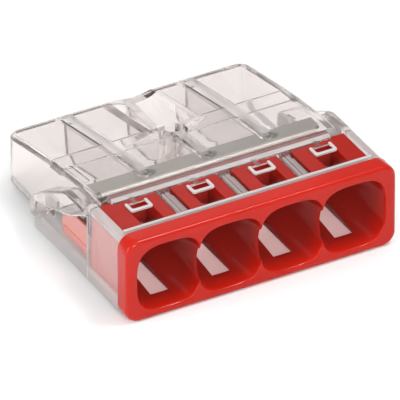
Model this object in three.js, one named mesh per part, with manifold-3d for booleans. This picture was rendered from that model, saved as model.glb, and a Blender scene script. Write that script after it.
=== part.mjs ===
// Push-in wire splicing connector for four conductors.
// A clear housing holds a red wire-entry insert, a busbar on its floor and a clamping spring under its roof.
// Frame: millimetres, +Z up, wire entries face -Y, origin at the bottom centre of the bounding box.
import * as THREE from "three";
import { mergeVertices } from "three/addons/utils/BufferGeometryUtils.js";
import Module from "manifold-3d";

// ---- driving dimensions -------------------------------------------------
const WIDTH = 18.2; // over the front flange
const DEPTH = 16.8; // front face to back face
const HEIGHT = 5.63; // front flange, bottom to top
const PITCH = 4.15; // between neighbouring conductors
const POLES = 4;

// Sections below use u across the width from the left flange side, v back from the front face, z up from the bottom.
const FLANGE_T = 1.2; // thickness of the red front flange
const FLANGE_R = 0.9; // its corner radius
const FLANGE_EDGE = 0.22; // its front edge chamfer

const SLEEVE_IN = 0.2; // how far the clear sleeve sits inside the flange's sides
const SLEEVE_Z0 = 0.06;
const SLEEVE_Z1 = 5.38;
const SLEEVE_V0 = 1.25;
const SLEEVE_V1 = 5.35;
const WALL = 0.4;

const BLOCK_IN = 1.0; // rear block, set in from each flange side
const BLOCK_R = 0.8; // its rear vertical corner radius
const BLOCK_Z0 = 0.4; // its underside
const BASE_V1 = 12.05; // rear end of the foot
const BASE_Z0 = 0.03;
const BASE_IN = 0.3;
const BASE_Z1 = 1.15;
const ROOF = [
  [5.2, 5.38],
  [7.4, 5.38],
  [11.2, 4.86],
  [16.8, 3.74],
]; // roof line, v and z
const ROOF_T = 0.45;
const BACK_T = 0.45;
const FLOOR_Z = 0.62; // chamber floor over the foot
const REAR_FLOOR_Z = 0.85; // chamber floor behind the foot
const RIB_T = 0.4;

const PAD_TOP = 5.24; // red pads standing in the roof windows
const CORE_TOP = 4.82;
const CORE_V1 = 6.05;
const WINDOW_V0 = 1.88; // roof windows, front and rear edges
const WINDOW_V1 = 4.78;
const WINDOW_STEP_V1 = 5.6; // rear edge of the outer windows' outer step
const ARM_U = [0.66, 0.92]; // latch arms, outside the rear block's walls
const ARM_V1 = 9.15;
const THROAT_R = 1.25; // wire guide bore
const WIRE_Z = 2.3; // conductor axis
const MOUTH_W = 2.1; // funnel mouth half width
const MOUTH_Z0 = 0.55;
const MOUTH_Z1 = 4.95;

const BLADE_W = 2.1;
const SPRING_T = 0.2;
const CURL_R = 0.33; // mid radius of the spring's fold
const HINGE_V = 6.62; // centre of that fold
const HINGE_Z = 4.32;
const BAND_V1 = 7.65;
const BLADE_DROP = 46; // degrees below horizontal at rest
const BLADE_L = 3.67;

const BAR_V0 = 7.9;
const BAR_V1 = 11.15;
const BAR_Z0 = 0.7;
const BAR_Z1 = 1.33;

const PROBE_V = 10.82; // test point well
const PROBE_R = 0.6;
const PROBE_WALL = 0.3;

// ---- helpers ------------------------------------------------------------
const wasm = await Module();
wasm.setup();
const U0 = WIDTH / 2,
  V0 = DEPTH / 2;
const centreU = (i) => WIDTH / 2 + (i - (POLES - 1) / 2) * PITCH;

function solid(geometry) {
  const g = geometry.index ? geometry.toNonIndexed() : geometry.clone();
  const bare = new THREE.BufferGeometry().setAttribute(
    "position",
    g.getAttribute("position"),
  );
  const merged = mergeVertices(bare, 1e-4);
  return new wasm.Manifold(
    new wasm.Mesh({
      numProp: 3,
      vertProperties: merged.attributes.position.array,
      triVerts: new Uint32Array(merged.index.array),
    }),
  );
}

function toGeometry(man) {
  const m = man.getMesh();
  const v = new Float32Array(m.numVert * 3);
  for (let i = 0; i < m.numVert; i++)
    v.set(m.vertProperties.subarray(i * m.numProp, i * m.numProp + 3), i * 3);
  const g = new THREE.BufferGeometry()
    .setAttribute("position", new THREE.BufferAttribute(v, 3))
    .setIndex(new THREE.BufferAttribute(new Uint32Array(m.triVerts), 1));
  return g;
}

const basis = (x, y, z) =>
  new THREE.Matrix4().makeBasis(
    new THREE.Vector3(...x),
    new THREE.Vector3(...y),
    new THREE.Vector3(...z),
  );
const ALONG_X = basis([0, 1, 0], [0, 0, 1], [1, 0, 0]);
const ALONG_Y = basis([1, 0, 0], [0, 0, 1], [0, -1, 0]);

function shapeOf(points) {
  return new THREE.Shape(points.map(([a, b]) => new THREE.Vector2(a, b)));
}

function roundRect(a0, a1, b0, b1, r) {
  const s = new THREE.Shape();
  s.moveTo(a0 + r, b0);
  s.lineTo(a1 - r, b0);
  s.absarc(a1 - r, b0 + r, r, -Math.PI / 2, 0);
  s.lineTo(a1, b1 - r);
  s.absarc(a1 - r, b1 - r, r, 0, Math.PI / 2);
  s.lineTo(a0 + r, b1);
  s.absarc(a0 + r, b1 - r, r, Math.PI / 2, Math.PI);
  s.lineTo(a0, b0 + r);
  s.absarc(a0 + r, b0 + r, r, Math.PI, 1.5 * Math.PI);
  return s;
}

// Section in v and z, drawn out along the width from u0 to u1.
function alongU(shape, u0, u1) {
  const g = new THREE.ExtrudeGeometry(shape, {
    depth: u1 - u0,
    bevelEnabled: false,
    curveSegments: 6,
  });
  g.applyMatrix4(ALONG_X);
  g.translate(u0 - U0, -V0, 0);
  return solid(g);
}

// Section in u and z, drawn out from v0 to v1.
function alongV(shape, v0, v1, segments = 6) {
  const g = new THREE.ExtrudeGeometry(shape, {
    depth: v1 - v0,
    bevelEnabled: false,
    curveSegments: segments,
  });
  g.applyMatrix4(ALONG_Y);
  g.translate(-U0, v1 - V0, 0);
  return solid(g);
}

// Section in u and v, drawn up from z0 to z1.
function alongZ(shape, z0, z1, segments = 6) {
  const g = new THREE.ExtrudeGeometry(shape, {
    depth: z1 - z0,
    bevelEnabled: false,
    curveSegments: segments,
  });
  g.translate(-U0, -V0, z0);
  return solid(g);
}

function block(u0, u1, v0, v1, z0, z1) {
  const g = new THREE.BoxGeometry(u1 - u0, v1 - v0, z1 - z0);
  g.translate((u0 + u1) / 2 - U0, (v0 + v1) / 2 - V0, (z0 + z1) / 2);
  return solid(g);
}

function post(u, v, r, z0, z1, n = 20) {
  const g = new THREE.CylinderGeometry(r, r, z1 - z0, n);
  g.rotateX(Math.PI / 2);
  g.translate(u - U0, v - V0, (z0 + z1) / 2);
  return solid(g);
}

// Closed skin through rings of points that all hold the same number of points.
function loft(rings) {
  const n = rings[0].length,
    p = [];
  const tri = (a, b, c) => p.push(...a, ...b, ...c);
  for (let k = 0; k + 1 < rings.length; k++)
    for (let i = 0; i < n; i++) {
      const j = (i + 1) % n,
        a = rings[k][i],
        b = rings[k][j],
        c = rings[k + 1][j],
        d = rings[k + 1][i];
      tri(a, b, c);
      tri(a, c, d);
    }
  for (let i = 1; i + 1 < n; i++) {
    tri(rings[0][0], rings[0][i + 1], rings[0][i]);
    const last = rings[rings.length - 1];
    tri(last[0], last[i], last[i + 1]);
  }
  const g = new THREE.BufferGeometry().setAttribute(
    "position",
    new THREE.Float32BufferAttribute(p, 3),
  );
  return solid(g);
}

// Strip of even thickness along a line of [v, z] points.
function ribbon(path, t) {
  const left = [],
    right = [];
  path.forEach(([a, b], i) => {
    const [pa, pb] = path[Math.max(i - 1, 0)],
      [na, nb] = path[Math.min(i + 1, path.length - 1)];
    const l = Math.hypot(na - pa, nb - pb),
      ox = (-(nb - pb) / l) * (t / 2),
      oz = ((na - pa) / l) * (t / 2);
    left.push([a + ox, b + oz]);
    right.push([a - ox, b - oz]);
  });
  return shapeOf([...left, ...right.reverse()]);
}

const mirrorU = (u0, u1) => [WIDTH - u1, WIDTH - u0];
const joinAll = (list) => list.reduce((a, b) => a.add(b));
const RED = { color: 0xdc3228, roughness: 0.3, metalness: 0 };
const STEEL = { color: 0xb4b2ae, roughness: 0.3, metalness: 0.9 };

const connector = new THREE.Group();
connector.name = "push_in_splicing_connector";
function addPart(name, man, look) {
  const mesh = new THREE.Mesh(
    toGeometry(man),
    new THREE.MeshStandardMaterial(look),
  );
  mesh.name = name;
  connector.add(mesh);
}

// ---- clear housing ------------------------------------------------------
function makeHousing() {
  const right = WIDTH - SLEEVE_IN;
  const sleeve = alongV(
    roundRect(SLEEVE_IN, right, SLEEVE_Z0, SLEEVE_Z1, 0.5),
    SLEEVE_V0,
    SLEEVE_V1,
    4,
  );
  // Rear block: the roof line seen from the side, with rounded rear corners seen from above.
  const side = shapeOf([
    [5.2, BLOCK_Z0],
    [DEPTH, BLOCK_Z0],
    ...ROOF.slice().reverse(),
  ]);
  const plan = roundRect(BLOCK_IN, WIDTH - BLOCK_IN, 3, DEPTH, BLOCK_R);
  const rear = alongU(side, 0.5, WIDTH - 0.5).intersect(alongZ(plan, 0, 6));
  const base = block(
    BASE_IN,
    WIDTH - BASE_IN,
    5.2,
    BASE_V1,
    BASE_Z0,
    BASE_Z1,
  );
  // Side frames: an ear beside the roof runs down and back to a post on the foot.
  const ear = shapeOf([
    [5.3, 5.0],
    [5.35, 4.75],
    [5.78, 4.35],
    [6.77, 3.72],
    [7.92, 3.27],
    [9.41, 2.77],
    [10.65, 2.45],
    [11.25, 2.2],
    [11.25, 1.0],
    [BASE_V1, 1.0],
    [BASE_V1, 2.0],
    [11.75, 2.45],
    [11.2, 2.95],
    [10.22, 3.6],
    [9.2, 4.2],
    [8.4, 4.62],
    [7.9, 4.92],
    [7.55, 5.01],
    [6.47, 5.06],
    [5.7, 5.05],
  ]);
  const ears = [
    [0, 1.2],
    mirrorU(0, 1.2),
  ].map(([a, b]) => alongU(ear, a, b));
  let h = joinAll([sleeve, rear, base, ...ears]);

  // Hollow: the sleeve's mouth, then the chambers behind it.
  h = h.subtract(
    alongV(
      roundRect(
        SLEEVE_IN + WALL,
        right - WALL,
        0.55,
        SLEEVE_Z1 - 0.45,
        0.25,
      ),
      SLEEVE_V0 - 0.5,
      SLEEVE_V1 - 0.1,
      3,
    ),
  );
  const inner = shapeOf([
    [4.9, FLOOR_Z],
    [BASE_V1 - 0.4, FLOOR_Z],
    [BASE_V1 - 0.1, REAR_FLOOR_Z],
    [DEPTH - BACK_T, REAR_FLOOR_Z],
    [DEPTH - BACK_T, 3.83 - ROOF_T],
    [11.2, 4.86 - ROOF_T],
    [7.4, 5.38 - ROOF_T],
    [4.9, 5.38 - ROOF_T],
  ]);
  h = h.subtract(alongU(inner, BLOCK_IN + WALL, WIDTH - BLOCK_IN - WALL));
  // The latch arms pass through the sleeve's rear wall.
  for (const [a, b] of [ARM_U, mirrorU(...ARM_U)])
    h = h.subtract(block(a - 0.06, b + 0.06, 4.9, 5.5, BASE_Z1, 3.26));

  // Ribs between the chambers carry the spring's strip and straddle the busbar.
  const rib = shapeOf([
    [6.35, 1.5],
    [11.2, 1.5],
    [11.2, 0.5],
    [DEPTH - 0.2, 0.5],
    [DEPTH - 0.2, 3.5],
    [11.2, 4.65],
    [8.05, 5.1],
    [8.05, 4.48],
    [6.35, 4.48],
  ]);
  for (let i = 0; i + 1 < POLES; i++) {
    const u = (centreU(i) + centreU(i + 1)) / 2;
    h = h.add(alongU(rib, u - RIB_T / 2, u + RIB_T / 2));
  }

  // Test point: a sloped trough from the back edge to a well that opens above the busbar.
  const mid = WIDTH / 2;
  const cross = (v, line) => line.map(([u, z]) => [mid + u - U0, v - V0, z]);
  h = h.add(
    loft([
      cross(11.2, [
        [2.2, 4.6],
        [2.15, 4.3],
        [1.45, 3.75],
        [0.75, 3.25],
        [0.1, 3.2],
        [-0.45, 3.25],
        [-1.1, 3.8],
        [-1.75, 4.4],
        [-1.8, 4.6],
      ]),
      cross(DEPTH - 0.2, [
        [2.2, 3.6],
        [2.15, 3.35],
        [1.65, 3.2],
        [1.2, 3.12],
        [0.6, 3.1],
        [0.0, 3.12],
        [-0.7, 3.22],
        [-1.75, 3.36],
        [-1.8, 3.6],
      ]),
    ]),
  );
  h = h.add(post(mid, PROBE_V, PROBE_R + PROBE_WALL, 1.9, 4.7));
  h = h.subtract(
    loft([
      cross(11.3, [
        [1.95, 6],
        [1.85, 4.9],
        [1.15, 4.2],
        [0.5, 3.62],
        [0.1, 3.58],
        [-0.2, 3.6],
        [-0.8, 4.25],
        [-1.42, 4.92],
        [-1.5, 6],
      ]),
      cross(DEPTH + 0.3, [
        [2.0, 6],
        [1.85, 3.74],
        [1.5, 3.6],
        [1.12, 3.5],
        [0.6, 3.49],
        [0.14, 3.5],
        [-0.6, 3.62],
        [-1.45, 3.76],
        [-1.6, 6],
      ]),
    ]),
  );
  h = h.subtract(post(mid, PROBE_V, PROBE_R, 1.0, 5.6));

  // Roof windows over the red pads; the two outer ones step back at the outside.
  for (let i = 0; i < POLES; i++) {
    const [a, b] = windowSpan(i);
    h = h.subtract(block(a, b, WINDOW_V0, WINDOW_V1, 4.5, 6));
    if (i === 0)
      h = h.subtract(block(a, a + 1.0, 4.6, WINDOW_STEP_V1, 4.5, 6));
    if (i === POLES - 1)
      h = h.subtract(block(b - 1.0, b, 4.6, WINDOW_STEP_V1, 4.5, 6));
  }
  // Snap tongues reach forward over the pads and end in an eye.
  for (let i = 0; i < POLES; i++) {
    const c = centreU(i) + 0.05;
    h = h.add(block(c - 0.75, c + 0.75, 3.4, 4.95, 5.28, 5.38));
    h = h.subtract(block(c - 0.55, c + 0.55, 3.6, 4.3, 5.2, 5.5));
  }
  return h;
}

function windowSpan(i) {
  const spans = [
    [0.75, 4.55],
    [5.5, 8.65],
  ];
  if (i < 2) return spans[i];
  const [a, b] = spans[POLES - 1 - i];
  return [WIDTH - b, WIDTH - a];
}

// ---- red wire-entry insert ----------------------------------------------
function funnel(c) {
  // Rounded mouth that narrows to the wire guide bore.
  const n = 28,
    rings = [];
  const midZ = (MOUTH_Z0 + MOUTH_Z1) / 2,
    halfZ = (MOUTH_Z1 - MOUTH_Z0) / 2;
  // v, half width, half height, centre z, squareness
  const stations = [
    [-0.3, MOUTH_W + 0.32, halfZ + 0.1, midZ, 3.4],
    [0.0, MOUTH_W + 0.1, halfZ, midZ, 3.4],
    [0.45, MOUTH_W - 0.02, halfZ - 0.12, midZ, 3.3],
    [1.0, MOUTH_W - 0.1, halfZ - 0.22, midZ, 3.2],
    [2.4, MOUTH_W - 0.22, halfZ - 0.4, midZ - 0.05, 3.0],
    [4.2, THROAT_R + 0.35, THROAT_R + 0.35, WIRE_Z + 0.15, 2.4],
    [5.0, THROAT_R, THROAT_R, WIRE_Z, 2.0],
    [CORE_V1 + 0.3, THROAT_R, THROAT_R, WIRE_Z, 2.0],
  ];
  for (const [v, a, b, z, p] of stations) {
    const ring = [];
    for (let i = 0; i < n; i++) {
      const t = (2 * Math.PI * i) / n,
        ct = Math.cos(t),
        st = Math.sin(t);
      ring.push([
        c + a * Math.sign(ct) * Math.abs(ct) ** (2 / p) - U0,
        v - V0,
        z + b * Math.sign(st) * Math.abs(st) ** (2 / p),
      ]);
    }
    rings.push(ring.reverse());
  }
  return loft(rings);
}

function makeInsert() {
  const flange = alongV(
    roundRect(0, WIDTH, 0, HEIGHT, FLANGE_R),
    FLANGE_EDGE,
    FLANGE_T,
    6,
  );
  // Chamfered front edge.
  const ring = (inset, v) =>
    roundRect(
      inset,
      WIDTH - inset,
      inset,
      HEIGHT - inset,
      FLANGE_R - inset,
    )
      .getPoints(6)
      .slice(0, -1)
      .map((p) => [p.x - U0, v - V0, p.y]);
  const nose = loft([ring(0, FLANGE_EDGE + 0.05), ring(0, FLANGE_EDGE), ring(FLANGE_EDGE, 0)]);
  const core = alongV(
    roundRect(0.72, WIDTH - 0.72, 0.66, CORE_TOP, 0.2),
    FLANGE_T - 0.1,
    5.1,
    3,
  );
  const tail = block(1.52, WIDTH - 1.52, 5.0, CORE_V1, 0.75, CORE_TOP);
  const parts = [flange, nose, core, tail];
  // Latch arms, each with a ridge along its outer face.
  const arm = shapeOf([
    [4.6, 1.2],
    [ARM_V1 - 0.15, 1.2],
    [ARM_V1, 1.35],
    [ARM_V1, 2.1],
    [8.9, 2.68],
    [7.6, 3.13],
    [4.6, 3.18],
  ]);
  for (const [a, b] of [ARM_U, mirrorU(...ARM_U)]) {
    parts.push(alongU(arm, a, b));
    const [c, d] = a < U0 ? [a - 0.08, b] : [a, b + 0.08];
    parts.push(block(c, d, SLEEVE_V1 + 0.05, ARM_V1 - 0.2, 1.66, 1.82));
  }
  for (let i = 0; i < POLES; i++) {
    const [a, b] = windowSpan(i),
      c = centreU(i) + 0.05;
    parts.push(
      block(
        a + 0.08,
        b - 0.08,
        WINDOW_V0 + 0.06,
        WINDOW_V1 - 0.06,
        CORE_TOP - 0.2,
        PAD_TOP,
      ),
    );
    if (i === 0)
      parts.push(
        block(a + 0.08, a + 0.92, 4.6, 5.0, CORE_TOP - 0.2, PAD_TOP),
      );
    if (i === POLES - 1)
      parts.push(
        block(b - 0.92, b - 0.08, 4.6, 5.0, CORE_TOP - 0.2, PAD_TOP),
      );
  }
  let m = joinAll(parts);
  // The row of mouths stops short of the flange's sides.
  const limit = block(0.78, WIDTH - 0.78, -1, 8, 0, HEIGHT);
  for (let i = 0; i < POLES; i++) {
    const c = centreU(i);
    m = m.subtract(funnel(c).intersect(limit));
    // Slots through the pad and through the floor, over and under the conductor.
    m = m.subtract(block(c - 0.7, c + 0.8, 2.0, 4.3, 3.2, 6));
    m = m.subtract(block(c - 0.58, c + 0.62, 1.32, 4.7, 0.3, 1.6));
  }
  return m;
}

// ---- metal parts --------------------------------------------------------
const arc = (a0, a1, n) =>
  Array.from({ length: n + 1 }, (_, i) => {
    const t = ((a0 + ((a1 - a0) * i) / n) * Math.PI) / 180;
    return [HINGE_V + CURL_R * Math.cos(t), HINGE_Z + CURL_R * Math.sin(t)];
  });

function makeStrip() {
  // One strip whose front edge folds down; gaps over the ribs part the fold into four roots.
  const bandZ = HINGE_Z + CURL_R;
  const path = [[BAND_V1, bandZ], ...arc(90, 180, 7)];
  let s = alongU(ribbon(path, SPRING_T), 1.52, WIDTH - 1.52);
  const first = centreU(0) - BLADE_W / 2;
  for (const [a, b] of [
    [1.0, first],
    mirrorU(1.0, first),
  ])
    s = s.subtract(block(a, b, 5.8, HINGE_V + 0.04, 4, 5));
  for (let i = 0; i + 1 < POLES; i++) {
    const u = (centreU(i) + centreU(i + 1)) / 2;
    s = s.subtract(block(u - 0.43, u + 0.43, 5.8, 6.9, 4, 5));
  }
  return s;
}

function makeBlade(i) {
  const c = centreU(i),
    end = 270 - BLADE_DROP,
    a = (end * Math.PI) / 180,
    d = (-BLADE_DROP * Math.PI) / 180;
  const path = arc(188, end, 4);
  const [v, z] = [
    HINGE_V + CURL_R * Math.cos(a),
    HINGE_Z + CURL_R * Math.sin(a),
  ];
  path.push([v + BLADE_L * Math.cos(d), z + BLADE_L * Math.sin(d)]);
  return alongU(ribbon(path, SPRING_T), c - BLADE_W / 2, c + BLADE_W / 2);
}

function makeBusbar() {
  let b = block(1.46, WIDTH - 1.46, BAR_V0, BAR_V1, BAR_Z0, BAR_Z1);
  for (const [a, c] of [
    [1.46, 1.71],
    mirrorU(1.46, 1.71),
  ])
    b = b.add(block(a, c, 9.7, BAR_V1, 1.0, 3.0));
  // Grooves across the conductors grip the copper.
  for (let i = 0; i < POLES; i++) {
    const c = centreU(i);
    for (const v of [8.5, 10.2])
      b = b.subtract(block(c - 1.0, c + 1.0, v, v + 0.25, BAR_Z1 - 0.08, 2));
  }
  return b;
}

addPart("housing", makeHousing(), {
  color: 0xd8d2cf,
  roughness: 0.08,
  metalness: 0,
  transparent: true,
  opacity: 0.35,
});
addPart("entry_insert", makeInsert(), RED);
addPart("busbar", makeBusbar(), {
  color: 0xcfcac0,
  roughness: 0.35,
  metalness: 0.9,
});
addPart("spring_strip", makeStrip(), STEEL);
for (let i = 0; i < POLES; i++)
  addPart("clamp_blade_" + (i + 1), makeBlade(i), STEEL);

export default connector;
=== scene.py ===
import math

import bpy
import bmesh
from mathutils import Matrix, Vector


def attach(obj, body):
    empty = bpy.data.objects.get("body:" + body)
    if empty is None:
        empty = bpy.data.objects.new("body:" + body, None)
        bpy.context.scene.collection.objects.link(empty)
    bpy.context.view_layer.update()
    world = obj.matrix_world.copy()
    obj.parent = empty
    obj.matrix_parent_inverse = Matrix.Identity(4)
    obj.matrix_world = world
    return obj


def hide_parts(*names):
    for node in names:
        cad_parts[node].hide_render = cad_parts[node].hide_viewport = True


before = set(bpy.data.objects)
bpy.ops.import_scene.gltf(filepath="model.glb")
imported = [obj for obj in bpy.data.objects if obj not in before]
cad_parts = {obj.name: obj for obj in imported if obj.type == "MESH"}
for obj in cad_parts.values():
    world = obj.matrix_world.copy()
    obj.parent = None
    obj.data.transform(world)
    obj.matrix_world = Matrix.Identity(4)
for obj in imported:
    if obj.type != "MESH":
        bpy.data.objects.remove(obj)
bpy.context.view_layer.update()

# ------------------------------------------------------------------ sizes, mm
W, D, H = 18.2, 16.8, 5.63
PITCH = 4.15
U0, V0 = W / 2, D / 2
MM = 0.001
CENTRES = [W / 2 + (i - 1.5) * PITCH for i in range(4)]
RIBS = [(CENTRES[i] + CENTRES[i + 1]) / 2 for i in range(3)]
WINDOWS = [(0.75, 4.65), (5.4, 8.73), (W - 8.73, W - 5.4), (W - 4.65, W - 0.75)]
HINGE_V, HINGE_Z, CURL_R, SPRING_T = 6.62, 4.32, 0.33, 0.2
BLADE_W, BLADE_L, DROP, BAND_V1 = 2.1, 3.67, 46.0, 7.65

scene = bpy.context.scene
work = bpy.data.collections.new("work")
scene.collection.children.link(work)


# -------------------------------------------------------------- mesh helpers
# Solids are drawn in millimetres: u across, v back from the front face, z up.
def new_obj(name, bm):
    me = bpy.data.meshes.new(name)
    bmesh.ops.recalc_face_normals(bm, faces=bm.faces)
    bm.to_mesh(me)
    bm.free()
    ob = bpy.data.objects.new(name, me)
    work.objects.link(ob)
    return ob


def prism(name, pts, axis, a0, a1):
    """pts in (v, z) for axis u, (u, z) for axis v, (u, v) for axis z."""
    bm = bmesh.new()

    def put(p, a):
        if axis == "u":
            return (a, p[0], p[1])
        if axis == "v":
            return (p[0], a, p[1])
        return (p[0], p[1], a)

    lo = [bm.verts.new(put(p, a0)) for p in pts]
    hi = [bm.verts.new(put(p, a1)) for p in pts]
    bm.faces.new(lo)
    bm.faces.new(list(reversed(hi)))
    n = len(pts)
    for i in range(n):
        j = (i + 1) % n
        bm.faces.new([lo[i], hi[i], hi[j], lo[j]])
    return new_obj(name, bm)


def box(name, u0, u1, v0, v1, z0, z1):
    return prism(name, [(u0, v0), (u1, v0), (u1, v1), (u0, v1)], "z", z0, z1)


def rr(a0, a1, b0, b1, r, n=8):
    if not isinstance(r, (tuple, list)):
        r = (r, r, r, r)  # low-low, high-low, high-high, low-high
    out = []
    for (cx, cy, s, k) in (
        (a1 - r[1], b0 + r[1], -90, 1),
        (a1 - r[2], b1 - r[2], 0, 2),
        (a0 + r[3], b1 - r[3], 90, 3),
        (a0 + r[0], b0 + r[0], 180, 0),
    ):
        for i in range(n + 1):
            t = math.radians(s + 90 * i / n)
            out.append((cx + r[k] * math.cos(t), cy + r[k] * math.sin(t)))
    return out


def loft(name, rings):
    bm = bmesh.new()
    vs = [[bm.verts.new(p) for p in ring] for ring in rings]
    n = len(rings[0])
    for k in range(len(rings) - 1):
        for i in range(n):
            j = (i + 1) % n
            bm.faces.new([vs[k][i], vs[k][j], vs[k + 1][j], vs[k + 1][i]])
    bm.faces.new(list(reversed(vs[0])))
    bm.faces.new(vs[-1])
    return new_obj(name, bm)


def cylinder(name, u, v, r, z0, z1, n=40):
    pts = [
        (u + r * math.cos(2 * math.pi * i / n), v + r * math.sin(2 * math.pi * i / n))
        for i in range(n)
    ]
    return prism(name, pts, "z", z0, z1)


def settle(ob):
    """Applies the object's modifiers."""
    bpy.context.view_layer.update()
    dg = bpy.context.evaluated_depsgraph_get()
    me = bpy.data.meshes.new_from_object(ob.evaluated_get(dg))
    ob.modifiers.clear()
    old = ob.data
    ob.data = me
    bpy.data.meshes.remove(old)
    return ob


def bevel(ob, width, segments=3, angle=30, apply=True):
    m = ob.modifiers.new("bevel", "BEVEL")
    m.width = width
    m.segments = segments
    m.limit_method = "ANGLE"
    m.angle_limit = math.radians(angle)
    m.use_clamp_overlap = True
    m.miter_outer = "MITER_ARC"
    return settle(ob) if apply else ob


def combine(ob, other, how):
    m = ob.modifiers.new("cut", "BOOLEAN")
    m.operation = how
    m.object = other
    m.solver = "EXACT"
    settle(ob)
    bpy.data.objects.remove(other)
    return ob


def cut(ob, *others):
    for o in others:
        combine(ob, o, "DIFFERENCE")
    return ob


def join(ob, *others):
    for o in others:
        combine(ob, o, "UNION")
    return ob


def finish_piece(ob, name, mat, body="root", smooth=35):
    """Cleans the mesh, puts it in the row frame in metres, and rides it."""
    bm = bmesh.new()
    bm.from_mesh(ob.data)
    bmesh.ops.remove_doubles(bm, verts=bm.verts, dist=1e-4)
    bmesh.ops.dissolve_degenerate(bm, edges=bm.edges, dist=1e-5)
    bm.to_mesh(ob.data)
    bm.free()
    ob.data.transform(Matrix.Translation((-U0, -V0, 0)))
    ob.data.transform(Matrix.Scale(MM, 4))
    ob.name = name
    ob.data.name = name
    ob.data.materials.clear()
    ob.data.materials.append(mat)
    for p in ob.data.polygons:
        p.use_smooth = True
        p.material_index = 0
    ob.data.set_sharp_from_angle(angle=math.radians(smooth))
    wn_ = ob.modifiers.new("flat", "WEIGHTED_NORMAL")
    wn_.mode = "FACE_AREA"
    wn_.weight = 100
    wn_.keep_sharp = True
    settle(ob)
    work.objects.unlink(ob)
    scene.collection.objects.link(ob)
    if body:
        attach(ob, body)
    return ob


# ------------------------------------------------------------------ materials
def base_material(name):
    mat = bpy.data.materials.new(name)
    mat.use_nodes = True
    nt = mat.node_tree
    nt.nodes.clear()
    out = nt.nodes.new("ShaderNodeOutputMaterial")
    p = nt.nodes.new("ShaderNodeBsdfPrincipled")
    co = nt.nodes.new("ShaderNodeTexCoord")
    return mat, nt, out, p, co


def noise(nt, co, scale, detail=3.0, rough=0.55, stretch=None):
    src = co.outputs["Object"]
    if stretch:
        mp = nt.nodes.new("ShaderNodeMapping")
        mp.inputs["Scale"].default_value = stretch
        nt.links.new(src, mp.inputs["Vector"])
        src = mp.outputs["Vector"]
    n = nt.nodes.new("ShaderNodeTexNoise")
    n.inputs["Scale"].default_value = scale
    n.inputs["Detail"].default_value = detail
    n.inputs["Roughness"].default_value = rough
    nt.links.new(src, n.inputs["Vector"])
    return n


def ramp(nt, fac, stops):
    r = nt.nodes.new("ShaderNodeValToRGB")
    el = r.color_ramp.elements
    el[0].position, el[0].color = stops[0][0], (*stops[0][1], 1)
    el[1].position, el[1].color = stops[-1][0], (*stops[-1][1], 1)
    for pos, col in stops[1:-1]:
        e = el.new(pos)
        e.color = (*col, 1)
    nt.links.new(fac, r.inputs["Fac"])
    return r


def span(nt, fac, lo, hi):
    m = nt.nodes.new("ShaderNodeMapRange")
    m.inputs["To Min"].default_value = lo
    m.inputs["To Max"].default_value = hi
    nt.links.new(fac, m.inputs["Value"])
    return m


def bump(nt, height, strength, distance, normal=None):
    b = nt.nodes.new("ShaderNodeBump")
    b.inputs["Strength"].default_value = strength
    b.inputs["Distance"].default_value = distance
    nt.links.new(height, b.inputs["Height"])
    if normal is not None:
        nt.links.new(normal, b.inputs["Normal"])
    return b


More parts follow.
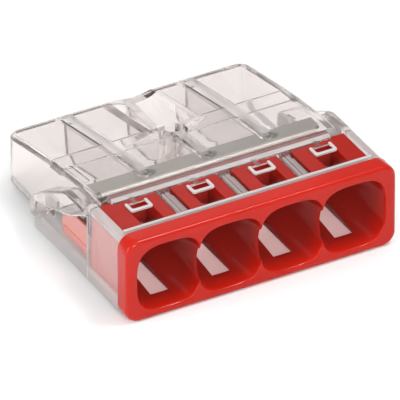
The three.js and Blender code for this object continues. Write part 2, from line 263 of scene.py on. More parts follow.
def clear_plastic(name="clear_polycarbonate"):
    """Moulded polycarbonate: refracting, faintly warm grey and hazy, matt on the floor under the entries, with a
    painted pink glow there.
    """
    mat, nt, out, p, co = base_material(name)
    nt.nodes.remove(p)

    def add(kind):
        return nt.nodes.new("ShaderNode" + kind)

    def math_(op, x, y):
        m = add("Math")
        m.operation = op
        for k, v in enumerate((x, y)):
            if isinstance(v, (int, float)):
                m.inputs[k].default_value = v
            else:
                nt.links.new(v, m.inputs[k])
        return m.outputs[0]

    glass = add("BsdfGlass")
    glass.inputs["IOR"].default_value = 1.5
    n1 = noise(nt, co, 420.0, 2.0, 0.5, (1.0, 0.35, 1.0))
    n2 = noise(nt, co, 5200.0, 3.0, 0.6)
    tint = ramp(nt, n1.outputs["Fac"], [(0.3, (0.934, 0.916, 0.91)), (0.7, (0.946, 0.929, 0.924))])
    nt.links.new(tint.outputs["Color"], glass.inputs["Color"])
    r = span(nt, n2.outputs["Fac"], 0.02, 0.07)
    nt.links.new(r.outputs["Result"], glass.inputs["Roughness"])
    b = bump(nt, n1.outputs["Fac"], 0.1, 0.00002)
    nt.links.new(b.outputs["Normal"], glass.inputs["Normal"])
    # Haze, and a painted glow: the matt floor under the entries emits pink light.
    white, through, haze = add("BsdfDiffuse"), add("BsdfTranslucent"), add("MixShader")
    white.inputs["Color"].default_value = (0.93, 0.88, 0.87, 1)
    through.inputs["Color"].default_value = (0.93, 0.88, 0.87, 1)
    haze.inputs["Fac"].default_value = 0.4
    glow, glowing = add("Emission"), add("AddShader")
    glow.inputs["Color"].default_value = (1.0, 0.3, 0.28, 1)
    nt.links.new(white.outputs[0], glowing.inputs[0])
    nt.links.new(glow.outputs[0], glowing.inputs[1])
    nt.links.new(glowing.outputs[0], haze.inputs[1])
    nt.links.new(through.outputs[0], haze.inputs[2])
    sp = add("SeparateXYZ")
    nt.links.new(co.outputs["Object"], sp.inputs[0])
    low = math_("LESS_THAN", sp.outputs["Z"], 0.00062)
    inside = math_("LESS_THAN", sp.outputs["Y"], (5.4 - V0) * MM)
    above = math_("GREATER_THAN", sp.outputs["Z"], 0.0002)
    side = add("Math")
    side.operation = "ABSOLUTE"
    nt.links.new(sp.outputs["X"], side.inputs[0])
    matt = math_("MULTIPLY", math_("MULTIPLY", low, inside), above)
    matt = math_("MULTIPLY", matt, math_("LESS_THAN", side.outputs[0], (U0 - 0.7) * MM))
    rims = math_("GREATER_THAN", sp.outputs["Z"], 0.005385)
    bar = math_("MULTIPLY", math_("GREATER_THAN", sp.outputs["Y"], (4.9 - V0) * MM), math_("LESS_THAN", sp.outputs["Y"], (5.17 - V0) * MM))
    bar = math_("MULTIPLY", bar, math_("GREATER_THAN", sp.outputs["Z"], 0.00505))
    amount = math_("MULTIPLY", matt, 0.5)
    # Painted glow: pink emission on the matt floor under the entries.
    nt.links.new(math_("MULTIPLY", matt, 0.8), glow.inputs["Strength"])
    sleeve_top = math_("MULTIPLY", math_("LESS_THAN", sp.outputs["Y"], (4.76 - V0) * MM), math_("GREATER_THAN", sp.outputs["Z"], 0.0050))
    foot = math_("MULTIPLY", math_("LESS_THAN", sp.outputs["Z"], 0.00118), math_("GREATER_THAN", side.outputs[0], (U0 - 1.0) * MM))
    corner = math_("MULTIPLY", math_("GREATER_THAN", sp.outputs["Y"], (5.16 - V0) * MM), math_("LESS_THAN", sp.outputs["Y"], (5.36 - V0) * MM))
    corner = math_("MULTIPLY", corner, math_("GREATER_THAN", side.outputs[0], (U0 - 0.62) * MM))
    ribs = None
    for u in RIBS:
        off = math_("ABSOLUTE", math_("SUBTRACT", sp.outputs["X"], (u - U0) * MM), 0.0)
        near = math_("LESS_THAN", off, 0.00031)
        ribs = near if ribs is None else math_("MAXIMUM", ribs, near)
    ribs = math_("MULTIPLY", ribs, math_("GREATER_THAN", sp.outputs["Y"], (7.0 - V0) * MM))
    lean = math_("ADD", sp.outputs["Z"], math_("MULTIPLY", sp.outputs["Y"], 0.17))
    ribs = math_("MULTIPLY", ribs, math_("GREATER_THAN", lean, 0.00438))
    amount = math_("ADD", amount, math_("MULTIPLY", math_("MAXIMUM", rims, bar), 0.7))
    web = math_("MULTIPLY", math_("GREATER_THAN", sp.outputs["Y"], (4.2 - V0) * MM), math_("LESS_THAN", side.outputs[0], (U0 - 1.8) * MM))
    sleeve_top = math_("MULTIPLY", sleeve_top, math_("SUBTRACT", 1.0, web))
    amount = math_("ADD", amount, math_("MULTIPLY", sleeve_top, 0.42))
    amount = math_("ADD", amount, math_("MULTIPLY", foot, 0.65))
    amount = math_("ADD", amount, math_("MULTIPLY", corner, 0.5))
    amount = math_("ADD", amount, math_("MULTIPLY", ribs, 0.4))
    amount = math_("ADD", amount, math_("MULTIPLY", math_("GREATER_THAN", side.outputs[0], (U0 - 1.3) * MM), 0.06))
    amount = math_("ADD", amount, 0.03)
    body = add("MixShader")
    nt.links.new(amount, body.inputs["Fac"])
    nt.links.new(glass.outputs[0], body.inputs[1])
    nt.links.new(haze.outputs[0], body.inputs[2])
    # Light that only passes through goes straight.
    clear, path, mix = add("BsdfTransparent"), add("LightPath"), add("MixShader")
    dim = ramp(nt, path.outputs["Is Diffuse Ray"], [(0.0, (0.7, 0.69, 0.685)), (1.0, (0.46, 0.45, 0.445))])
    nt.links.new(dim.outputs["Color"], clear.inputs["Color"])
    nt.links.new(math_("MAXIMUM", path.outputs["Is Shadow Ray"], path.outputs["Is Diffuse Ray"]), mix.inputs["Fac"])
    nt.links.new(body.outputs[0], mix.inputs[1])
    nt.links.new(clear.outputs[0], mix.inputs[2])
    nt.links.new(mix.outputs[0], out.inputs["Surface"])
    return mat


def red_plastic(name="red_polyamide"):
    """Moulded red plastic: half-gloss, with faint orange peel and slight tone drift."""
    mat, nt, out, p, co = base_material(name)
    n1 = noise(nt, co, 300.0, 3.0, 0.5)
    n2 = noise(nt, co, 9000.0, 4.0, 0.6)
    col = ramp(nt, n1.outputs["Fac"], [(0.3, (0.50, 0.013, 0.005)), (0.7, (0.55, 0.016, 0.008))])
    # Painted shade: red faces behind the flange are darkened near the top, over the pads in the windows.
    sp = nt.nodes.new("ShaderNodeSeparateXYZ")
    nt.links.new(co.outputs["Object"], sp.inputs[0])
    back = nt.nodes.new("ShaderNodeMapRange")
    back.inputs["From Min"].default_value = (1.3 - V0) * MM
    back.inputs["From Max"].default_value = (1.6 - V0) * MM
    nt.links.new(sp.outputs["Y"], back.inputs["Value"])
    up = nt.nodes.new("ShaderNodeMapRange")
    up.inputs["From Min"].default_value = 0.0046
    up.inputs["From Max"].default_value = 0.0050
    nt.links.new(sp.outputs["Z"], up.inputs["Value"])
    both = nt.nodes.new("ShaderNodeMath")
    both.operation = "MULTIPLY"
    nt.links.new(back.outputs["Result"], both.inputs[0])
    nt.links.new(up.outputs["Result"], both.inputs[1])
    tone = nt.nodes.new("ShaderNodeMix")
    tone.data_type = "RGBA"
    tone.blend_type = "MULTIPLY"
    tone.inputs[7].default_value = (0.72, 0.75, 0.75, 1)
    nt.links.new(both.outputs[0], tone.inputs[0])
    nt.links.new(col.outputs["Color"], tone.inputs[6])
    # Painted glow: emission on the thin side walls and arms stands in for the light that comes through them.
    side = nt.nodes.new("ShaderNodeMath")
    side.operation = "ABSOLUTE"
    nt.links.new(sp.outputs["X"], side.inputs[0])
    edge, rear, lowz, warm = (nt.nodes.new("ShaderNodeMath") for _ in range(4))
    edge.operation = "GREATER_THAN"
    edge.inputs[1].default_value = (U0 - 0.77) * MM
    nt.links.new(side.outputs[0], edge.inputs[0])
    rear.operation = "GREATER_THAN"
    rear.inputs[1].default_value = (1.25 - V0) * MM
    nt.links.new(sp.outputs["Y"], rear.inputs[0])
    lowz.operation = "LESS_THAN"
    lowz.inputs[1].default_value = 0.0048
    nt.links.new(sp.outputs["Z"], lowz.inputs[0])
    warm.operation = "MULTIPLY"
    nt.links.new(edge.outputs[0], warm.inputs[0])
    nt.links.new(rear.outputs[0], warm.inputs[1])
    glow = nt.nodes.new("ShaderNodeMath")
    glow.operation = "MULTIPLY"
    nt.links.new(warm.outputs[0], glow.inputs[0])
    nt.links.new(lowz.outputs[0], glow.inputs[1])
    # The arms are thinner still; their paler colour is painted light, standing in for the light through them, and
    # their painted glow is weaker.
    arms, pale, less, gain = (nt.nodes.new("ShaderNode" + k) for k in ("Math", "Mix", "MapRange", "Math"))
    arms.operation = "GREATER_THAN"
    arms.inputs[1].default_value = (5.1 - V0) * MM
    nt.links.new(sp.outputs["Y"], arms.inputs[0])
    armed = nt.nodes.new("ShaderNodeMath")
    armed.operation = "MULTIPLY"
    nt.links.new(arms.outputs[0], armed.inputs[0])
    nt.links.new(edge.outputs[0], armed.inputs[1])
    less.inputs["To Min"].default_value = 0.42
    less.inputs["To Max"].default_value = 0.1
    nt.links.new(arms.outputs[0], less.inputs["Value"])
    gain.operation = "MULTIPLY"
    nt.links.new(glow.outputs[0], gain.inputs[0])
    nt.links.new(less.outputs["Result"], gain.inputs[1])
    # Painted shade: inside the entries the colour darkens with depth behind the front face.
    deep, within, flip = (nt.nodes.new("ShaderNode" + k) for k in ("MapRange", "Math", "Mix"))
    deep.inputs["From Min"].default_value = (0.25 - V0) * MM
    deep.inputs["From Max"].default_value = (1.6 - V0) * MM
    nt.links.new(sp.outputs["Y"], deep.inputs["Value"])
    within.operation = "MULTIPLY"
    nt.links.new(deep.outputs["Result"], within.inputs[0])
    nt.links.new(lowz.outputs[0], within.inputs[1])
    inner = nt.nodes.new("ShaderNodeMath")
    inner.operation = "LESS_THAN"
    inner.inputs[1].default_value = (U0 - 0.77) * MM
    nt.links.new(side.outputs[0], inner.inputs[0])
    both2 = nt.nodes.new("ShaderNodeMath")
    both2.operation = "MULTIPLY"
    nt.links.new(within.outputs[0], both2.inputs[0])
    nt.links.new(inner.outputs[0], both2.inputs[1])
    flip.data_type = "RGBA"
    flip.inputs[7].default_value = (0.37, 0.022, 0.016, 1)
    nt.links.new(both2.outputs[0], flip.inputs[0])
    nt.links.new(tone.outputs[2], flip.inputs[6])
    # Painted light: the arms are made paler pink.
    pale.data_type = "RGBA"
    pale.inputs[7].default_value = (0.62, 0.27, 0.24, 1)
    nt.links.new(armed.outputs[0], pale.inputs[0])
    nt.links.new(flip.outputs[2], pale.inputs[6])
    nt.links.new(pale.outputs[2], p.inputs["Base Color"])
    # Painted glow: its strength comes from the side-wall mask.
    p.inputs["Emission Color"].default_value = (1.0, 0.36, 0.33, 1)
    nt.links.new(gain.outputs[0], p.inputs["Emission Strength"])
    p.inputs["Coat Weight"].default_value = 0.3
    p.inputs["Coat Roughness"].default_value = 0.07
    r = span(nt, n2.outputs["Fac"], 0.2, 0.3)
    nt.links.new(r.outputs["Result"], p.inputs["Roughness"])
    p.inputs["IOR"].default_value = 1.5
    p.inputs["Specular IOR Level"].default_value = 0.12
    p.inputs["Subsurface Weight"].default_value = 0.05
    p.inputs["Subsurface Radius"].default_value = (1.0, 0.12, 0.06)
    p.inputs["Subsurface Scale"].default_value = 0.0006
    b = bump(nt, n2.outputs["Fac"], 0.12, 0.00001)
    nt.links.new(b.outputs["Normal"], p.inputs["Normal"])
    nt.links.new(p.outputs[0], out.inputs["Surface"])
    return mat


def metal(name, lo, hi, rough, stretch, sheen, pocket_shade=()):
    """Rolled strip: fine lines along the rolling direction, a slow drift of tone, and painted shade spots at the given
    pockets.
    """
    mat, nt, out, p, co = base_material(name)
    lines = noise(nt, co, 2600.0, 4.0, 0.6, stretch)
    drift = noise(nt, co, 380.0, 2.0, 0.5)
    mixf = nt.nodes.new("ShaderNodeMath")
    mixf.operation = "MULTIPLY_ADD"
    nt.links.new(lines.outputs["Fac"], mixf.inputs[0])
    mixf.inputs[1].default_value = 0.6
    half = span(nt, drift.outputs["Fac"], 0.0, 0.4)
    nt.links.new(half.outputs["Result"], mixf.inputs[2])
    col = ramp(nt, mixf.outputs[0], [(0.3, lo), (0.72, hi)])
    shade = col.outputs["Color"]
    # Painted shade: a dark spot in each pocket.
    for u, v in pocket_shade:
        mp = nt.nodes.new("ShaderNodeMapping")
        mp.vector_type = "TEXTURE"
        mp.inputs["Location"].default_value = ((u - U0) * MM, (v - V0) * MM, 0.00472)
        mp.inputs["Scale"].default_value = (0.00056, 0.0004, 0.001)
        nt.links.new(co.outputs["Object"], mp.inputs["Vector"])
        far = nt.nodes.new("ShaderNodeVectorMath")
        far.operation = "LENGTH"
        nt.links.new(mp.outputs["Vector"], far.inputs[0])
        spot = ramp(nt, far.outputs["Value"], [(0.55, (0.3, 0.33, 0.31)), (1.0, (1.0, 1.0, 1.0))])
        mul = nt.nodes.new("ShaderNodeMix")
        mul.data_type = "RGBA"
        mul.blend_type = "MULTIPLY"
        mul.inputs[0].default_value = 1.0
        nt.links.new(shade, mul.inputs[6])
        nt.links.new(spot.outputs["Color"], mul.inputs[7])
        shade = mul.outputs[2]
    nt.links.new(shade, p.inputs["Base Color"])
    p.inputs["Metallic"].default_value = sheen
    r = span(nt, lines.outputs["Fac"], rough - 0.06, rough + 0.1)
    nt.links.new(r.outputs["Result"], p.inputs["Roughness"])
    b = bump(nt, lines.outputs["Fac"], 0.3, 0.000012)
    nt.links.new(b.outputs["Normal"], p.inputs["Normal"])
    nt.links.new(p.outputs[0], out.inputs["Surface"])
    return mat


CLEAR = clear_plastic()
RED = red_plastic()
# The strip gets painted shade spots in its three pockets beside the ribs.
STEEL = metal("spring_steel_strip", (0.42, 0.405, 0.378), (0.51, 0.495, 0.465), 0.42, (0.12, 1.0, 1.0), 0.8, [(u + 0.4, 7.06) for u in RIBS])
TIN = metal("tinned_copper_bar", (0.80, 0.77, 0.73), (0.9, 0.875, 0.84), 0.34, (0.2, 1.0, 1.0), 0.5)


# -------------------------------------------------------------- clear housing
ROOF = [(5.2, 5.38), (7.4, 5.38), (11.2, 4.86), (16.8, 3.74), (18.0, 3.5)]


def roof_z(v):
    for (a, b), (c, d) in zip(ROOF, ROOF[1:]):
        if v <= c:
            return b + (d - b) * (v - a) / (c - a)
    return ROOF[-1][1]


def make_housing():
    # Rear block, with rounded rear corners and roof edges.
    side = [(5.2, 0.4), (D, 0.4), (D, 3.74), (11.2, 4.86), (7.4, 5.38), (5.2, 5.38)]
    rear = prism("rear", side, "u", 0.5, W - 0.5)
    plan = prism("plan", rr(1.0, W - 1.0, 3, D, (0.1, 0.1, 0.8, 0.8), 10), "z", -1, 7)
    combine(rear, plan, "INTERSECT")
    bevel(rear, 0.22, 4, 40)
    # Sleeve round the insert.
    sleeve = prism("sleeve", rr(0.2, W - 0.2, 0.06, 5.38, 0.3, 6), "v", 1.22, 5.35)
    bevel(sleeve, 0.07, 2, 50)
    base = box("base", 0.3, W - 0.3, 5.2, 12.05, 0.03, 1.15)
    bevel(base, 0.12, 3, 40)
    h = join(sleeve, rear, base)
    # Side frames: an ear beside the roof runs down and back to a post on the foot.
    for a, b in ((0.0, 1.25), (W - 1.25, W)):
        ear = [(5.12, 5.02), (5.12, 4.68), (5.78, 4.35), (6.77, 3.72), (7.92, 3.27), (9.41, 2.77), (10.65, 2.45), (11.1, 2.32),
               (11.22, 2.2), (11.25, 2.0), (11.25, 1.0), (12.05, 1.0), (12.05, 1.95), (11.98, 2.2), (11.75, 2.5), (11.2, 2.95),
               (10.22, 3.6), (9.2, 4.2), (8.4, 4.62), (7.95, 4.88), (7.55, 5.01), (6.47, 5.06), (5.7, 5.05)]
        e = prism("ear", ear, "u", a, b)
        bevel(e, 0.2, 4, 60)
        join(h, e)

    # Hollows. The ceiling steps down at a bar across the chambers.
    mouth = prism("mouth", rr(0.6, W - 0.6, 0.55, 4.93, 0.25, 5), "v", 0.5, 5.25)
    inner = [(4.9, 0.62), (11.6, 0.62), (11.9, 0.85), (D - 0.45, 0.85), (D - 0.45, 3.42), (11.55, 4.38),
             (11.55, 4.22), (10.1, 4.42), (10.1, 4.56), (7.4, 4.93), (4.9, 4.93)]
    room = prism("room", inner, "u", 1.36, W - 1.36)
    bevel(room, 0.07, 2, 40)
    cut(h, mouth, room)
    # The latch arms pass through the sleeve's rear wall.
    for a, b in ((0.6, 0.98), (W - 0.98, W - 0.6)):
        cut(h, box("pass", a, b, 4.9, 5.55, 1.15, 3.26))

    # Ribs.
    for u in RIBS:
        rib = [(6.35, 1.5), (11.2, 1.5), (11.2, 0.5), (D - 0.2, 0.5), (D - 0.2, 3.5), (11.2, 4.65), (8.05, 5.1), (8.05, 4.48), (6.35, 4.48)]
        join(h, prism("rib", rib, "u", u - 0.25, u + 0.25))
        join(h, prism("rib_top", rr(u - 0.25, u + 0.25, 6.62, 8.3, (0.2, 0.2, 0.02, 0.02), 4), "z", 4.79, 5.0))
        for line in (
            ((6.8, 4.93, 0.12), (7.4, 4.93, 0.12), (8.1, 4.83, 0.16), (10.05, 4.56, 0.26)),
            ((11.65, 4.36, 0.26), (D - 0.4, 3.42, 0.26)),
        ):
            rings = [
                [(u - 0.5, v, z + 0.04), (u - 0.27, v, z - k), (u + 0.27, v, z - k), (u + 0.5, v, z + 0.04), (u + 0.3, v, z + 0.2), (u - 0.3, v, z + 0.2)]
                for v, z, k in line
            ]
            join(h, loft("fillet", rings))

    # Test trough and well. The wall under the trough follows its shape.
    mid, well = W / 2, 10.82
    front = [(1.95, 6), (1.85, 4.9), (1.15, 4.2), (0.5, 3.62), (0.1, 3.58), (-0.2, 3.6), (-0.8, 4.25), (-1.42, 4.92), (-1.5, 6)]
    back = [(2.0, 6), (1.85, 3.74), (1.5, 3.6), (1.12, 3.5), (0.6, 3.49), (0.14, 3.5), (-0.6, 3.62), (-1.45, 3.76), (-1.6, 6)]
    under_f = [(2.2, 4.6), (2.15, 4.3), (1.45, 3.75), (0.75, 3.25), (0.1, 3.2), (-0.45, 3.25), (-1.1, 3.8), (-1.75, 4.4), (-1.8, 4.6)]
    under_b = [(2.2, 3.6), (2.15, 3.35), (1.65, 3.2), (1.2, 3.12), (0.6, 3.1), (0.0, 3.12), (-0.7, 3.22), (-1.75, 3.36), (-1.8, 3.6)]
    join(h, loft("trough_under", [[(mid + u, 11.2, z) for u, z in under_f], [(mid + u, D - 0.2, z) for u, z in under_b]]))
    join(h, cylinder("well_body", mid, well, 0.9, 1.9, 4.7))
    cut(h, loft("trough", [[(mid + u, 11.3, z) for u, z in front], [(mid + u, D + 0.3, z) for u, z in back]]))
    cut(h, cylinder("well", mid, well, 0.6, 1.0, 5.6))

    # Windows. The bars between them slope to the right and have a fine groove.
    for i, (a, b) in enumerate(WINDOWS):
        cut(h, box("window", a, b, 1.88, 4.86, 4.5, 6))
        if i == 0:
            cut(h, box("window", a, a + 1.0, 4.6, 5.6, 4.5, 6))
        if i == 3:
            cut(h, box("window", b - 1.0, b, 4.6, 5.6, 4.5, 6))
    for k in range(3):
        a, b = WINDOWS[k][1], WINDOWS[k + 1][0]
        m = (a + b) / 2
        cut(h, prism("slope", [(b + 0.2, 5.08), (b - 0.12, 5.08), (m + 0.06, 5.36), (m + 0.06, 5.7), (b + 0.2, 5.7)], "v", 1.97, 4.7))
        cut(h, box("groove", a + 0.1, a + 0.2, 1.97, 4.66, 5.06, 5.7))
    # The bar behind the windows faces forward.
    cut(h, prism("bar_face", [(4.6, 5.24), (4.97, 5.24), (5.14, 5.4), (5.14, 5.7), (4.6, 5.7)], "u", 1.78, W - 1.78))
    # Lip in front of the windows.
    lip = [(1.68, 5.3), (1.7, 5.42), (1.74, 5.47), (1.81, 5.47), (1.86, 5.42), (1.87, 5.3)]
    join(h, prism("lip", lip, "u", 0.75, W - 0.75))
    # Long shallow slots beside the outer chambers.
    for u in (1.5, W - 1.5):
        groove = prism("groove", rr(u - 0.2, u + 0.2, 7.5, 10.1, 0.19, 6), "z", 4.6, 6)
        floor_ = prism("groove_floor", [(7.0, 4.3), (7.0, 5.28), (7.4, 5.28), (10.5, 4.86), (10.5, 4.3)], "u", u - 1, u + 1)
        cut(groove, floor_)
        cut(h, groove)
    bevel(h, 0.045, 2, 35)
    # Snap tongues: a thin web ends in a raised bow, open to the rear.
    for c in CENTRES:
        c += 0.05
        web = [(c - 0.7, 4.16), (c + 0.7, 4.16), (c + 0.7, 4.28), (c + 0.12, 4.28), (c + 0.12, 5.12), (c - 0.12, 5.12), (c - 0.12, 4.28), (c - 0.7, 4.28)]
        join(h, prism("tongue", web, "z", 5.285, 5.33))
        bow = rr(c - 0.74, c + 0.74, 3.38, 4.3, (0.16, 0.16, 0.01, 0.01), 5)
        bow = [p for p in bow if p[1] < 4.2]
        right = sorted([p for p in bow if p[0] > c], key=lambda p: (p[1], p[0]))
        left = [(2 * c - u, v) for u, v in right]
        line = [(c + 0.55, 4.3), (c + 0.55, 3.68), (c + 0.49, 3.6), (c - 0.49, 3.6), (c - 0.55, 3.68), (c - 0.55, 4.3)]
        bow = prism("bow", [(c - 0.74, 4.3)] + left[::-1] + right + [(c + 0.74, 4.3)] + line, "z", 5.262, 5.42)
        bevel(bow, 0.045, 2, 40)
        join(h, bow)
    return h


# ------------------------------------------------------------ red entry insert
def funnel(c):
    n = 72
    # A thin wall is left between neighbours; its front edge curves back.
    left, right = c > CENTRES[0] + 0.1, c < CENTRES[3] - 0.1
    # v, half width, half height, centre z, squareness
    st = [
        (-0.30, 2.45, 2.50, 2.75, 3.3),
        (-0.02, 2.25, 2.33, 2.75, 3.3),
        (0.03, 2.18, 2.26, 2.75, 3.3),
        (0.12, 2.14, 2.22, 2.75, 3.3),
        (0.28, 2.12, 2.19, 2.75, 3.3),
        (0.60, 2.095, 2.15, 2.75, 3.3),
        (1.00, 2.055, 2.09, 2.75, 3.2),
        (1.60, 1.98, 2.00, 2.74, 3.1),
        (2.40, 1.86, 1.86, 2.70, 2.9),
        (3.20, 1.68, 1.68, 2.62, 2.7),
        (4.00, 1.46, 1.46, 2.48, 2.4),
        (4.70, 1.30, 1.30, 2.34, 2.1),
        (5.20, 1.25, 1.25, 2.30, 2.0),
        (6.50, 1.25, 1.25, 2.30, 2.0),
    ]
    rings = []
    for v, a, b, z, p in st:
        ring = []
        for i in range(n):
            t = 2 * math.pi * (i + 0.5) / n
            ct, s = math.cos(t), math.sin(t)
            across = a * math.copysign(abs(ct) ** (2 / p), ct)
            height = z + b * math.copysign(abs(s) ** (2 / p), s)
            limit = 2.03 + 0.25 * max(0.0, 0.72 * (1 - ((height - 2.75) / 1.75) ** 2) - v)
            if (across < 0 and left) or (across > 0 and right):
                across = min(max(across, -limit), limit)
            ring.append((c + across, v, height))
        rings.append(ring)
    return loft("funnel", rings)


def make_insert():
    flange = prism("flange", rr(0, W, 0, H, 0.9, 12), "v", 0.0, 1.2)
    bm = bmesh.new()
    bm.from_mesh(flange.data)
    front = [e for e in bm.edges if all(abs(v.co.y) < 1e-6 for v in e.verts)]
    bmesh.ops.bevel(bm, geom=front, offset=0.26, segments=5, profile=0.5, affect="EDGES")
    back = [e for e in bm.edges if all(abs(v.co.y - 1.2) < 1e-6 for v in e.verts)]
    bmesh.ops.bevel(bm, geom=back, offset=0.06, segments=2, profile=0.5, affect="EDGES")
    bm.to_mesh(flange.data)
    bm.free()
    core = prism("core", rr(0.72, W - 0.72, 0.66, 4.82, 0.2, 4), "v", 1.1, 5.1)
    tail = box("tail", 1.52, W - 1.52, 5.0, 6.05, 0.75, 4.82)
    bevel(tail, 0.08, 2, 40)
    m = join(flange, core, tail)
    # Latch arms, each with a ridge along its outer face.
    for a, b in ((0.66, 0.92), (W - 0.92, W - 0.66)):
        arm = prism("arm", [(4.6, 1.2), (9.0, 1.2), (9.15, 1.35), (9.15, 2.1), (8.9, 2.68), (7.6, 3.13), (4.6, 3.18)], "u", a, b)
        c, d = (a - 0.08, a + 0.1) if a < U0 else (b - 0.1, b + 0.08)
        ridge = box("ridge", c, d, 5.42, 8.95, 1.66, 1.82)
        join(m, arm, ridge)
    for i, (a, b) in enumerate(WINDOWS):
        pad = [(a + 0.08, 1.94), (b - 0.1, 1.94), (b - 0.1, 4.79), (a + 0.08, 4.79)]
        if i == 0:
            pad = [(a + 0.08, 1.94), (b - 0.1, 1.94), (b - 0.1, 4.79), (a + 0.92, 4.79), (a + 0.92, 4.98), (a + 0.08, 4.98)]
        if i == 3:
            pad = [(a + 0.08, 1.94), (b - 0.08, 1.94), (b - 0.08, 4.98), (b - 0.92, 4.98), (b - 0.92, 4.79), (a + 0.08, 4.79)]
        p = prism("pad", pad, "z", 4.6, 5.24)
        bevel(p, 0.05, 2, 40)
        join(m, p)
    for c in CENTRES:
        cut(m, funnel(c))
    for c in CENTRES:
        cut(m, box("slot", c - 0.7, c + 0.8, 2.0, 4.3, 3.2, 6))
        cut(m, box("floor_slot", c - 0.58, c + 0.62, 1.32, 4.7, 0.3, 1.6))
    bevel(m, 0.035, 2, 40)
    return m


# --------------------------------------------------------------------- metals
def arc(a0, a1, n):
    out = []
    for i in range(n + 1):
        t = math.radians(a0 + (a1 - a0) * i / n)
        out.append((HINGE_V + CURL_R * math.cos(t), HINGE_Z + CURL_R * math.sin(t)))
    return out


def ribbon(path, t):
    left, right = [], []
    for i, (a, b) in enumerate(path):
        pa, pb = path[max(i - 1, 0)]
        na, nb = path[min(i + 1, len(path) - 1)]
        l = math.hypot(na - pa, nb - pb)
        ox, oz = -(nb - pb) / l * t / 2, (na - pa) / l * t / 2
        left.append((a + ox, b + oz))
        right.append((a - ox, b - oz))
    return left + right[::-1]


def make_strip():
    path = [(BAND_V1, HINGE_Z + CURL_R)] + arc(90, 180, 14)
    s = prism("strip", ribbon(path, SPRING_T), "u", 1.52, W - 1.52)
    for a, b in [(1.0, CENTRES[0] - BLADE_W / 2), (CENTRES[3] + BLADE_W / 2, W - 1.0)]:
        cut(s, box("gap", a, b, 5.8, HINGE_V + 0.04, 4, 5))
    for u in RIBS:
        cut(s, prism("gap", rr(u - 0.43, u + 0.43, 5.6, 6.9, 0.18, 5), "z", 4, 4.6))
        cut(s, prism("pocket", rr(u - 0.03, u + 0.83, 6.78, 7.34, 0.25, 6), "z", 4.68, 5))
    join(s, prism("tab", rr(W / 2 - 0.38, W / 2 + 0.38, BAND_V1 - 0.1, BAND_V1 + 0.4, (0.02, 0.02, 0.15, 0.15), 4), "z", 4.56, 4.74))
    bevel(s, 0.03, 2, 40)
    return s


def make_blade(c):
    end = 270 - DROP
    path = arc(188, end, 8)
    a, d = math.radians(end), math.radians(-DROP)
    v, z = HINGE_V + CURL_R * math.cos(a), HINGE_Z + CURL_R * math.sin(a)
    for k in range(1, 7):
        l = BLADE_L * k / 6
        path.append((v + l * math.cos(d), z + l * math.sin(d)))
    b = prism("blade", ribbon(path, SPRING_T), "u", c - BLADE_W / 2, c + BLADE_W / 2)
    bevel(b, 0.03, 2, 40)
    return b


def make_busbar():
    b = box("bar", 1.46, W - 1.46, 7.9, 11.15, 0.7, 1.33)
    bevel(b, 0.06, 3, 40)
    for a, c in ((1.46, 1.71), (W - 1.71, W - 1.46)):
        tab = box("tab", a, c, 9.7, 11.15, 1.0, 3.0)
        bevel(tab, 0.06, 2, 40)
        join(b, tab)
    for c in CENTRES:
        for v in (8.5, 10.2):
            cut(b, box("groove", c - 1.0, c + 1.0, v, v + 0.25, 1.25, 2))
    bevel(b, 0.02, 1, 40)
    return b


housing = finish_piece(make_housing(), "housing_clear", CLEAR, smooth=32)
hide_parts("housing")
insert = finish_piece(make_insert(), "entry_insert_red", RED, smooth=38)
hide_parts("entry_insert")
strip = finish_piece(make_strip(), "spring_strip_steel", STEEL)
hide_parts("spring_strip")
for i, c in enumerate(CENTRES):
    blade = finish_piece(make_blade(c), "clamp_blade_steel_%d" % (i + 1), STEEL, "blade_%d" % (i + 1))
    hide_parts("clamp_blade_%d" % (i + 1))
bar = finish_piece(make_busbar(), "busbar_tinned", TIN)
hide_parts("busbar")


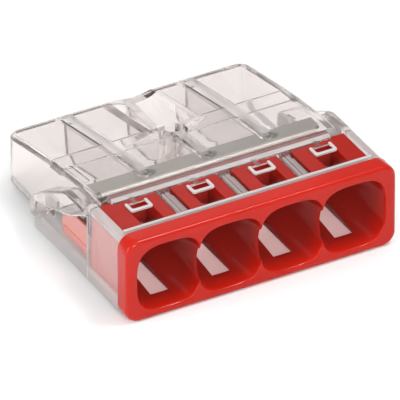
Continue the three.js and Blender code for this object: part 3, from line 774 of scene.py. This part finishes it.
# ---------------------------------------------------------------------- stage
def floor_material():
    """Pale card, matt; it throws back less light than the camera sees in it."""
    mat, nt, out, p, co = base_material("pale_floor")
    n = noise(nt, co, 40.0, 2.0, 0.5)
    col = ramp(nt, n.outputs["Fac"], [(0.3, (0.93, 0.93, 0.93)), (0.7, (0.95, 0.95, 0.95))])
    nt.links.new(col.outputs["Color"], p.inputs["Base Color"])
    p.inputs["Roughness"].default_value = 0.85
    p.inputs["Specular IOR Level"].default_value = 0.1
    p.inputs["Emission Color"].default_value = (1, 1, 1, 1)
    dim = nt.nodes.new("ShaderNodeBsdfDiffuse")
    dim.inputs["Color"].default_value = (0.6, 0.6, 0.6, 1)
    path = nt.nodes.new("ShaderNodeLightPath")
    glow = span(nt, path.outputs["Is Transmission Ray"], 0.04, 0.42)
    # Painted pool of light: extra emission, seen only through the clear body, brightens the card right under it in
    # place of the light the clear body gathers.
    near, soft, pool, total = (nt.nodes.new("ShaderNode" + k) for k in ("VectorMath", "MapRange", "Math", "Math"))
    near.operation = "LENGTH"
    under = nt.nodes.new("ShaderNodeMapping")
    under.vector_type = "TEXTURE"
    under.inputs["Location"].default_value = (0, 0.003, 0)
    under.inputs["Scale"].default_value = (0.0098, 0.0066, 1)
    nt.links.new(co.outputs["Object"], under.inputs["Vector"])
    nt.links.new(under.outputs["Vector"], near.inputs[0])
    soft.inputs["From Min"].default_value = 0.8
    soft.inputs["From Max"].default_value = 1.15
    soft.inputs["To Min"].default_value = 0.5
    soft.inputs["To Max"].default_value = 0.0
    nt.links.new(near.outputs["Value"], soft.inputs["Value"])
    pool.operation = "MULTIPLY"
    nt.links.new(soft.outputs["Result"], pool.inputs[0])
    nt.links.new(path.outputs["Is Transmission Ray"], pool.inputs[1])
    total.operation = "ADD"
    nt.links.new(glow.outputs["Result"], total.inputs[0])
    nt.links.new(pool.outputs[0], total.inputs[1])
    nt.links.new(total.outputs[0], p.inputs["Emission Strength"])
    mix = nt.nodes.new("ShaderNodeMixShader")
    nt.links.new(path.outputs["Is Diffuse Ray"], mix.inputs["Fac"])
    nt.links.new(p.outputs[0], mix.inputs[1])
    nt.links.new(dim.outputs[0], mix.inputs[2])
    nt.links.new(mix.outputs[0], out.inputs["Surface"])
    return mat


bm = bmesh.new()
bmesh.ops.create_circle(bm, cap_ends=True, segments=64, radius=1.6)
floor = new_obj("floor", bm)
work.objects.unlink(floor)
scene.collection.objects.link(floor)
floor.location = (0, 0, -0.00002)
floor.data.materials.append(floor_material())

world = bpy.data.worlds.new("studio")
scene.world = world
world.use_nodes = True
wn = world.node_tree
wn.nodes.clear()
wo = wn.nodes.new("ShaderNodeOutputWorld")
bg = wn.nodes.new("ShaderNodeBackground")
geo = wn.nodes.new("ShaderNodeTexCoord")
sep = wn.nodes.new("ShaderNodeSeparateXYZ")
wn.links.new(geo.outputs["Generated"], sep.inputs[0])
mr = wn.nodes.new("ShaderNodeMapRange")
mr.inputs["From Min"].default_value = -1
mr.inputs["From Max"].default_value = 1
wn.links.new(sep.outputs["Z"], mr.inputs["Value"])


def sky(stops):
    """A background shader whose brightness climbs from the horizon to the zenith."""
    g = wn.nodes.new("ShaderNodeValToRGB")
    el = g.color_ramp.elements
    el[0].position, el[0].color = stops[0][0], (stops[0][1],) * 3 + (1,)
    el[1].position, el[1].color = stops[-1][0], (stops[-1][1],) * 3 + (1,)
    for pos, val in stops[1:-1]:
        e = el.new(pos)
        e.color = (val, val, val, 1)
    wn.links.new(mr.outputs["Result"], g.inputs["Fac"])
    b = wn.nodes.new("ShaderNodeBackground")
    wn.links.new(g.outputs["Color"], b.inputs["Color"])
    return b


lp = wn.nodes.new("ShaderNodeLightPath")
shade = sky([(0.5, 0.5), (0.62, 0.52), (0.8, 0.66), (1.0, 0.8)])
for kind, bg in (
    ("Is Glossy Ray", sky([(0.5, 0.5), (0.62, 0.3), (0.8, 0.25), (1.0, 0.5)])),
    ("Is Transmission Ray", sky([(0.5, 1.15), (0.7, 1.25), (1.0, 1.3)])),
    ("Is Camera Ray", sky([(0.0, 1.0), (1.0, 1.0)])),
):
    if kind == "Is Transmission Ray":
        # A dark card stands where level faces would mirror the sky to the camera.
        dot, card, dark = (wn.nodes.new("ShaderNode" + k) for k in ("VectorMath", "MapRange", "MixShader"))
        dot.operation = "DOT_PRODUCT"
        dot.inputs[1].default_value = (0.406, 0.731, 0.548)
        wn.links.new(geo.outputs["Generated"], dot.inputs[0])
        card.inputs["From Min"].default_value = 0.9
        card.inputs["From Max"].default_value = 0.96
        card.inputs["To Max"].default_value = 0.6
        wn.links.new(dot.outputs["Value"], card.inputs["Value"])
        wn.links.new(card.outputs["Result"], dark.inputs["Fac"])
        wn.links.new(bg.outputs[0], dark.inputs[1])
        wn.links.new(sky([(0.0, 0.1), (1.0, 0.1)]).outputs[0], dark.inputs[2])
        bg = dark
    mx = wn.nodes.new("ShaderNodeMixShader")
    wn.links.new(lp.outputs[kind], mx.inputs["Fac"])
    wn.links.new(shade.outputs[0], mx.inputs[1])
    wn.links.new(bg.outputs[0], mx.inputs[2])
    shade = mx
wn.links.new(shade.outputs[0], wo.inputs["Surface"])


def area(name, loc, target, size, power, size_y=None):
    d = bpy.data.lights.new(name, "AREA")
    d.shape = "RECTANGLE"
    d.size = size
    d.size_y = size_y or size
    d.energy = power
    ob = bpy.data.objects.new(name, d)
    scene.collection.objects.link(ob)
    ob.location = loc
    ob.rotation_euler = (Vector(target) - Vector(loc)).to_track_quat("-Z", "Y").to_euler()
    return ob


area("key", (0.045, -0.03, 0.138), (0, 0, 0), 0.03, 0.06)
area("back", (0.03, 0.12, 0.08), (0, 0, 0), 0.08, 0.01)
area("front", (-0.03, -0.135, 0.075), (0, 0, 0.002), 0.05, 0.1)
area("left", (-0.15, 0.0, 0.05), (0, 0, 0.002), 0.09, 0.11)

# --------------------------------------------------------------------- camera
AZ, EL, DIST = math.radians(-29.032), math.radians(33.31), 0.9
PX_PER_MM = 16.898
target = Vector((-0.882, 5.981 - V0, 2.8)) * MM
away = Vector((math.cos(EL) * math.sin(AZ), -math.cos(EL) * math.cos(AZ), math.sin(EL)))
cam = bpy.data.cameras.new("camera")
cam.type = "PERSP"
cam.sensor_fit = "HORIZONTAL"
cam.sensor_width = 36.0
cam.lens = PX_PER_MM * (DIST / MM) / 400 * 36.0
cam.clip_start = 0.01
cam.clip_end = 10.0
cam_ob = bpy.data.objects.new("camera", cam)
scene.collection.objects.link(cam_ob)
cam_ob.location = target + away * DIST
cam_ob.rotation_euler = (-away).to_track_quat("-Z", "Y").to_euler()
scene.camera = cam_ob

scene.view_settings.view_transform = "Standard"
scene.view_settings.look = "None"
scene.cycles.max_bounces = 24
scene.cycles.transmission_bounces = 24
scene.cycles.transparent_max_bounces = 24
scene.cycles.glossy_bounces = 8
scene.cycles.diffuse_bounces = 4
scene.cycles.caustics_reflective = False
scene.cycles.caustics_refractive = False
scene.cycles.use_denoising = True
scene.cycles.seed = 7
